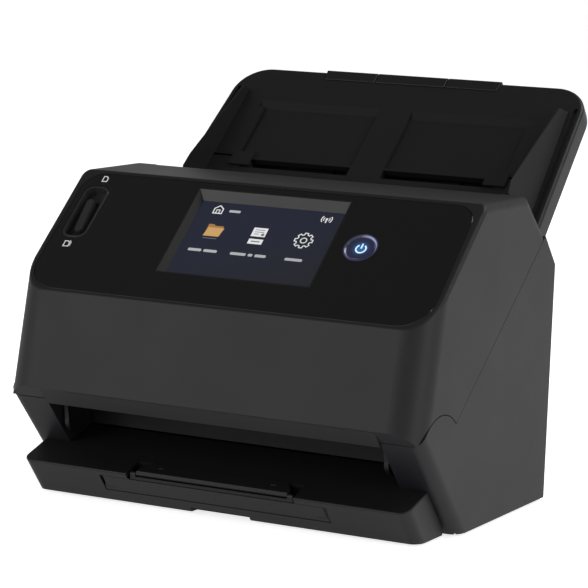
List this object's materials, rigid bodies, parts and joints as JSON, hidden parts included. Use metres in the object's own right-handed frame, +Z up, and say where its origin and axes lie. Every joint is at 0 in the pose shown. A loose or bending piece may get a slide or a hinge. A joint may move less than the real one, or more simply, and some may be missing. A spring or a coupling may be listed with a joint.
{
  "type": "sheet fed document scanner",
  "caption": "Desktop sheet fed scanner with a sloping touch-screen panel, a leaning feed tray with tall side guides, a hinged front cover and a pull-out output tray.",
  "frame": {"origin": "middle of the bounding box on the desk, feed tray open and both extensions pushed in", "axes": "+X to the right seen from the front, +Y to the back, +Z up"},
  "size_m": [0.291, 0.2999, 0.2685],
  "materials": {
    "cover_plastic": "fine moulded texture",
    "base_plastic": "fine moulded texture",
    "tray_plastic": "fine moulded texture",
    "inner_plastic": "smooth matte",
    "panel_gloss": "high gloss",
    "screen_frame_grey": "satin",
    "screen_display": "glass over a lit display",
    "button_blue": "satin, lit symbol",
    "button_ring": "lit ring",
    "lever_grey": "satin",
    "rubber_black": "matte",
    "roller_rubber": "ground",
    "steel": "bright drawn",
    "board_green": "solder mask",
    "socket_metal": "plated",
    "inlet_black": "smooth",
    "sensor_glass": "clear"
  },
  "bodies": {
    "base": {"base_housing": "base_plastic", "base_plate": "base_plastic", "rubber_feet": "rubber_black", "base_plate_screws": "steel", "rear_screws": "steel", "lower_paper_guide": "inner_plastic", "exit_back_wall": "inner_plastic", "lower_sensor_glass": "sensor_glass", "lower_image_sensor": "inner_plastic", "bearing_frame": "steel", "drive_motor": "steel", "drive_belt": "roller_rubber", "main_board": "board_green", "power_inlet": "inlet_black", "usb_socket": "socket_metal", "network_socket": "socket_metal", "output_tray": "tray_plastic"},
    "motor_drive": {"motor_pulley": "steel"},
    "feed_roller": {"feed_roller_shaft": "steel", "feed_roller_tyres": "roller_rubber"},
    "rear_drive_roller": {"rear_drive_roller_shaft": "steel", "rear_drive_roller_tyres": "roller_rubber"},
    "front_drive_roller": {"front_drive_roller_shaft": "steel", "front_drive_roller_tyres": "roller_rubber"},
    "front_cover": {"front_cover_shell": "cover_plastic", "control_panel": "panel_gloss", "screen_frame": "screen_frame_grey", "touch_screen": "screen_display", "display_module": "steel", "panel_board": "board_green", "power_button_ring": "button_ring", "lever_bezel": "lever_grey", "upper_paper_guide": "inner_plastic", "cover_side_plates": "steel", "upper_sensor_glass": "sensor_glass", "upper_image_sensor": "inner_plastic"},
    "power_button": {"power_button": "button_blue"},
    "feed_lever": {"feed_selection_lever": "lever_grey"},
    "retard_roller": {"retard_roller_shaft": "steel", "retard_roller_tyres": "roller_rubber"},
    "rear_pinch_roller": {"rear_pinch_roller_shaft": "steel", "rear_pinch_roller_tyres": "roller_rubber"},
    "front_pinch_roller": {"front_pinch_roller_shaft": "steel", "front_pinch_roller_tyres": "roller_rubber"},
    "feed_tray": {"feed_tray_face": "tray_plastic", "feed_tray_back": "tray_plastic", "feed_tray_screws": "steel", "feed_tray_pins": "steel", "pinion_post": "steel"},
    "left_guide": {"left_document_guide": "tray_plastic", "left_guide_rack": "inner_plastic"},
    "right_guide": {"right_document_guide": "tray_plastic", "right_guide_rack": "inner_plastic"},
    "guide_pinion": {"guide_pinion": "inner_plastic"},
    "feed_extension_outer": {"feed_extension_outer": "tray_plastic"},
    "feed_extension_inner": {"feed_extension_inner": "tray_plastic"},
    "output_first": {"output_extension_first": "tray_plastic"},
    "output_second": {"output_extension_second": "tray_plastic"},
    "stopper": {"document_stopper": "tray_plastic"}
  },
  "joints": [
    {"name": "cover_open", "type": "hinge", "parent": "base", "child": "front_cover", "pos_m": [0, -0.11395, 0.05], "axis": [1, 0, 0], "range_deg": [0, 45]},
    {"name": "feed_tray_fold", "type": "hinge", "parent": "base", "child": "feed_tray", "pos_m": [0, 0.03692, 0.16946], "axis": [1, 0, 0], "range_deg": [0, 20]},
    {"name": "left_guide_slide", "type": "slide", "parent": "feed_tray", "child": "left_guide", "axis": [1, 0, 0], "range_m": [0, 0.058]},
    {"name": "right_guide_slide", "type": "slide", "parent": "feed_tray", "child": "right_guide", "axis": [1, 0, 0], "range_m": [-0.058, 0]},
    {"name": "guide_pinion_turn", "type": "hinge", "parent": "feed_tray", "child": "guide_pinion", "pos_m": [0, 0.06761, 0.20509], "axis": [0, -0.6521, 0.7581], "range_deg": [0, 556]},
    {"name": "feed_extension_outer_slide", "type": "slide", "parent": "feed_tray", "child": "feed_extension_outer", "axis": [0, 0.7581, 0.6521], "range_m": [0, 0.085]},
    {"name": "feed_extension_inner_slide", "type": "slide", "parent": "feed_extension_outer", "child": "feed_extension_inner", "axis": [0, 0.7581, 0.6521], "range_m": [0, 0.04]},
    {"name": "power_button_press", "type": "slide", "parent": "front_cover", "child": "power_button", "axis": [0, 0.6634, -0.7482], "range_m": [0, 0.0008], "stiffness_N_per_m": 400},
    {"name": "feed_lever_slide", "type": "slide", "parent": "front_cover", "child": "feed_lever", "axis": [0, 0.7482, 0.6634], "range_m": [0, 0.008]},
    {"name": "output_first_slide", "type": "slide", "parent": "base", "child": "output_first", "axis": [0, -1, 0], "range_m": [0, 0.1]},
    {"name": "output_second_slide", "type": "slide", "parent": "output_first", "child": "output_second", "axis": [0, -1, 0], "range_m": [0, 0.09]},
    {"name": "stopper_flip", "type": "hinge", "parent": "output_second", "child": "stopper", "pos_m": [0, -0.13435, 0.0242], "axis": [1, 0, 0], "range_deg": [0, 95]},
    {"name": "feed_roller_turn", "type": "hinge", "parent": "base", "child": "feed_roller", "pos_m": [0, 0.01008, 0.13256], "axis": [1, 0, 0], "continuous": true},
    {"name": "rear_drive_turn", "type": "hinge", "parent": "base", "child": "rear_drive_roller", "pos_m": [0, -0.01192, 0.11853], "axis": [1, 0, 0], "continuous": true},
    {"name": "front_drive_turn", "type": "hinge", "parent": "base", "child": "front_drive_roller", "pos_m": [0, -0.06293, 0.07988], "axis": [1, 0, 0], "continuous": true},
    {"name": "motor_turn", "type": "hinge", "parent": "base", "child": "motor_drive", "pos_m": [0, -0.01411, 0.06844], "axis": [1, 0, 0], "continuous": true},
    {"name": "retard_roller_turn", "type": "hinge", "parent": "front_cover", "child": "retard_roller", "pos_m": [0, -0.00345, 0.15041], "axis": [1, 0, 0], "continuous": true},
    {"name": "rear_pinch_turn", "type": "hinge", "parent": "front_cover", "child": "rear_pinch_roller", "pos_m": [0, -0.02182, 0.1316], "axis": [1, 0, 0], "continuous": true},
    {"name": "front_pinch_turn", "type": "hinge", "parent": "front_cover", "child": "front_pinch_roller", "pos_m": [0, -0.07283, 0.09295], "axis": [1, 0, 0], "continuous": true}
  ],
  "couplings": [
    {"joint": "right_guide_slide", "follows": "left_guide_slide", "ratio": -1},
    {"joint": "guide_pinion_turn", "follows": "left_guide_slide", "rad_per_m": 166.67},
    {"joint": "rear_drive_turn", "follows": "feed_roller_turn", "ratio": 1},
    {"joint": "front_drive_turn", "follows": "feed_roller_turn", "ratio": 1},
    {"joint": "motor_turn", "follows": "feed_roller_turn", "ratio": 1}
  ]
}
